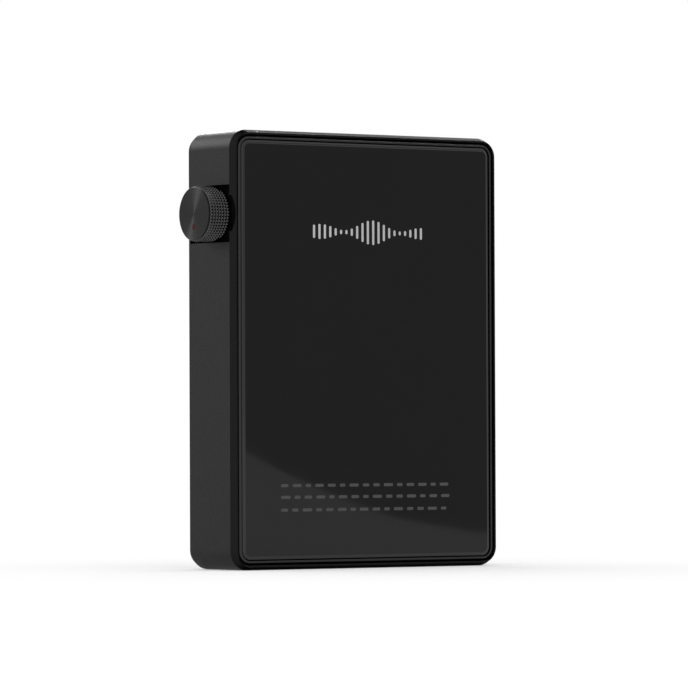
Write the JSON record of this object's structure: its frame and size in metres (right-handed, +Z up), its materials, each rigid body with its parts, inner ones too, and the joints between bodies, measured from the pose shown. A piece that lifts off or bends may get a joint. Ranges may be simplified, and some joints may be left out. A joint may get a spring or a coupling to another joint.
{
  "type": "digital audio player",
  "caption": "Pocket digital audio player with a flat rounded-corner metal case, glass faces and a knurled volume knob on its side.",
  "frame": {"origin": "middle of the flat bottom face, which the player stands on", "axes": "+Z up the height of the player, screen facing -Y, rear glass facing +Y, volume knob on +X"},
  "size_m": [0.0632, 0.015, 0.0793],
  "materials": {
    "case_black": "satin black anodised, fine bead-blasted grain",
    "cover_black": "black anodised frame with a bright cut edge",
    "rear_glass_black": "black-backed polished glass",
    "front_glass_black": "black-backed polished glass",
    "screen": "switched-off display panel",
    "diffuser_white": "white light guide",
    "frame_magnesium": "cast, matte",
    "board_green": "circuit board with solder mask",
    "chip_black": "moulded chip package",
    "foil_silver": "tinned sheet",
    "battery_foil": "laminated pouch foil",
    "foam_black": "closed-cell foam",
    "ribbon_amber": "flexible printed circuit",
    "connector_white": "moulded nylon",
    "plastic_black": "moulded black plastic",
    "trim_black": "turned, black anodised",
    "button_black": "satin black anodised",
    "steel": "plain",
    "bush_brass": "turned",
    "knob_black": "diamond knurled, black anodised",
    "knob_face": "spun face, black anodised",
    "marker_red": "red enamel dot",
    "print_silver": "screen-printed marks"
  },
  "bodies": {
    "player": {"battery_cell": "battery_foil", "battery_connector": "connector_white", "battery_lead": "ribbon_amber", "battery_pad": "foam_black", "button_flex": "ribbon_amber", "card_guide": "plastic_black", "card_socket_front": "steel", "card_socket_rear": "steel", "case_shell": "case_black", "clock_crystal": "foil_silver", "converter_chip": "chip_black", "display_backlight": "diffuser_white", "display_panel": "screen", "display_ribbon": "ribbon_amber", "encoder_body": "steel", "encoder_bush": "bush_brass", "encoder_nut": "steel", "forward_switch": "steel", "frame_screw_lower_left": "steel", "frame_screw_lower_right": "steel", "frame_screw_upper_left": "steel", "frame_screw_upper_right": "steel", "front_gasket": "foam_black", "front_glass": "front_glass_black", "headphone_jack": "plastic_black", "headphone_trim_ring": "trim_black", "main_board": "board_green", "memory_chip": "chip_black", "mid_frame": "frame_magnesium", "optical_jack": "plastic_black", "optical_trim_ring": "trim_black", "play_switch": "steel", "power_bracket": "steel", "power_chip": "chip_black", "power_switch": "steel", "processor_chip": "chip_black", "rear_adhesive": "foam_black", "rear_cover": "cover_black", "rear_glass": "rear_glass_black", "rewind_switch": "steel", "ribbon_connector": "connector_white", "shield_can": "foil_silver", "usb_socket": "steel", "usb_tongue": "plastic_black"},
    "volume_control": {"volume_shaft": "steel", "volume_knob": "knob_black", "knob_cap": "knob_face", "knob_dot": "marker_red"},
    "power_key": {"power_button": "button_black"},
    "forward_key": {"forward_button": "button_black"},
    "play_key": {"play_button": "button_black"},
    "rewind_key": {"rewind_button": "button_black"},
    "card_door": {"card_cover": "button_black"}
  },
  "joints": [
    {"name": "volume_turn", "type": "hinge", "parent": "player", "child": "volume_control", "pos_m": [0.0296, 0, 0.06395], "axis": [1, 0, 0], "continuous": true},
    {"name": "power_press", "type": "slide", "parent": "player", "child": "power_key", "axis": [0, 0, -1], "range_m": [0, 0.0003], "stiffness_N_per_m": 1500},
    {"name": "forward_press", "type": "slide", "parent": "player", "child": "forward_key", "axis": [1, 0, 0], "range_m": [0, 0.00035], "stiffness_N_per_m": 1500},
    {"name": "play_press", "type": "slide", "parent": "player", "child": "play_key", "axis": [1, 0, 0], "range_m": [0, 0.00035], "stiffness_N_per_m": 1500},
    {"name": "rewind_press", "type": "slide", "parent": "player", "child": "rewind_key", "axis": [1, 0, 0], "range_m": [0, 0.00035], "stiffness_N_per_m": 1500},
    {"name": "card_slide", "type": "slide", "parent": "player", "child": "card_door", "axis": [-1, 0, 0], "range_m": [0, 0.011]}
  ]
}
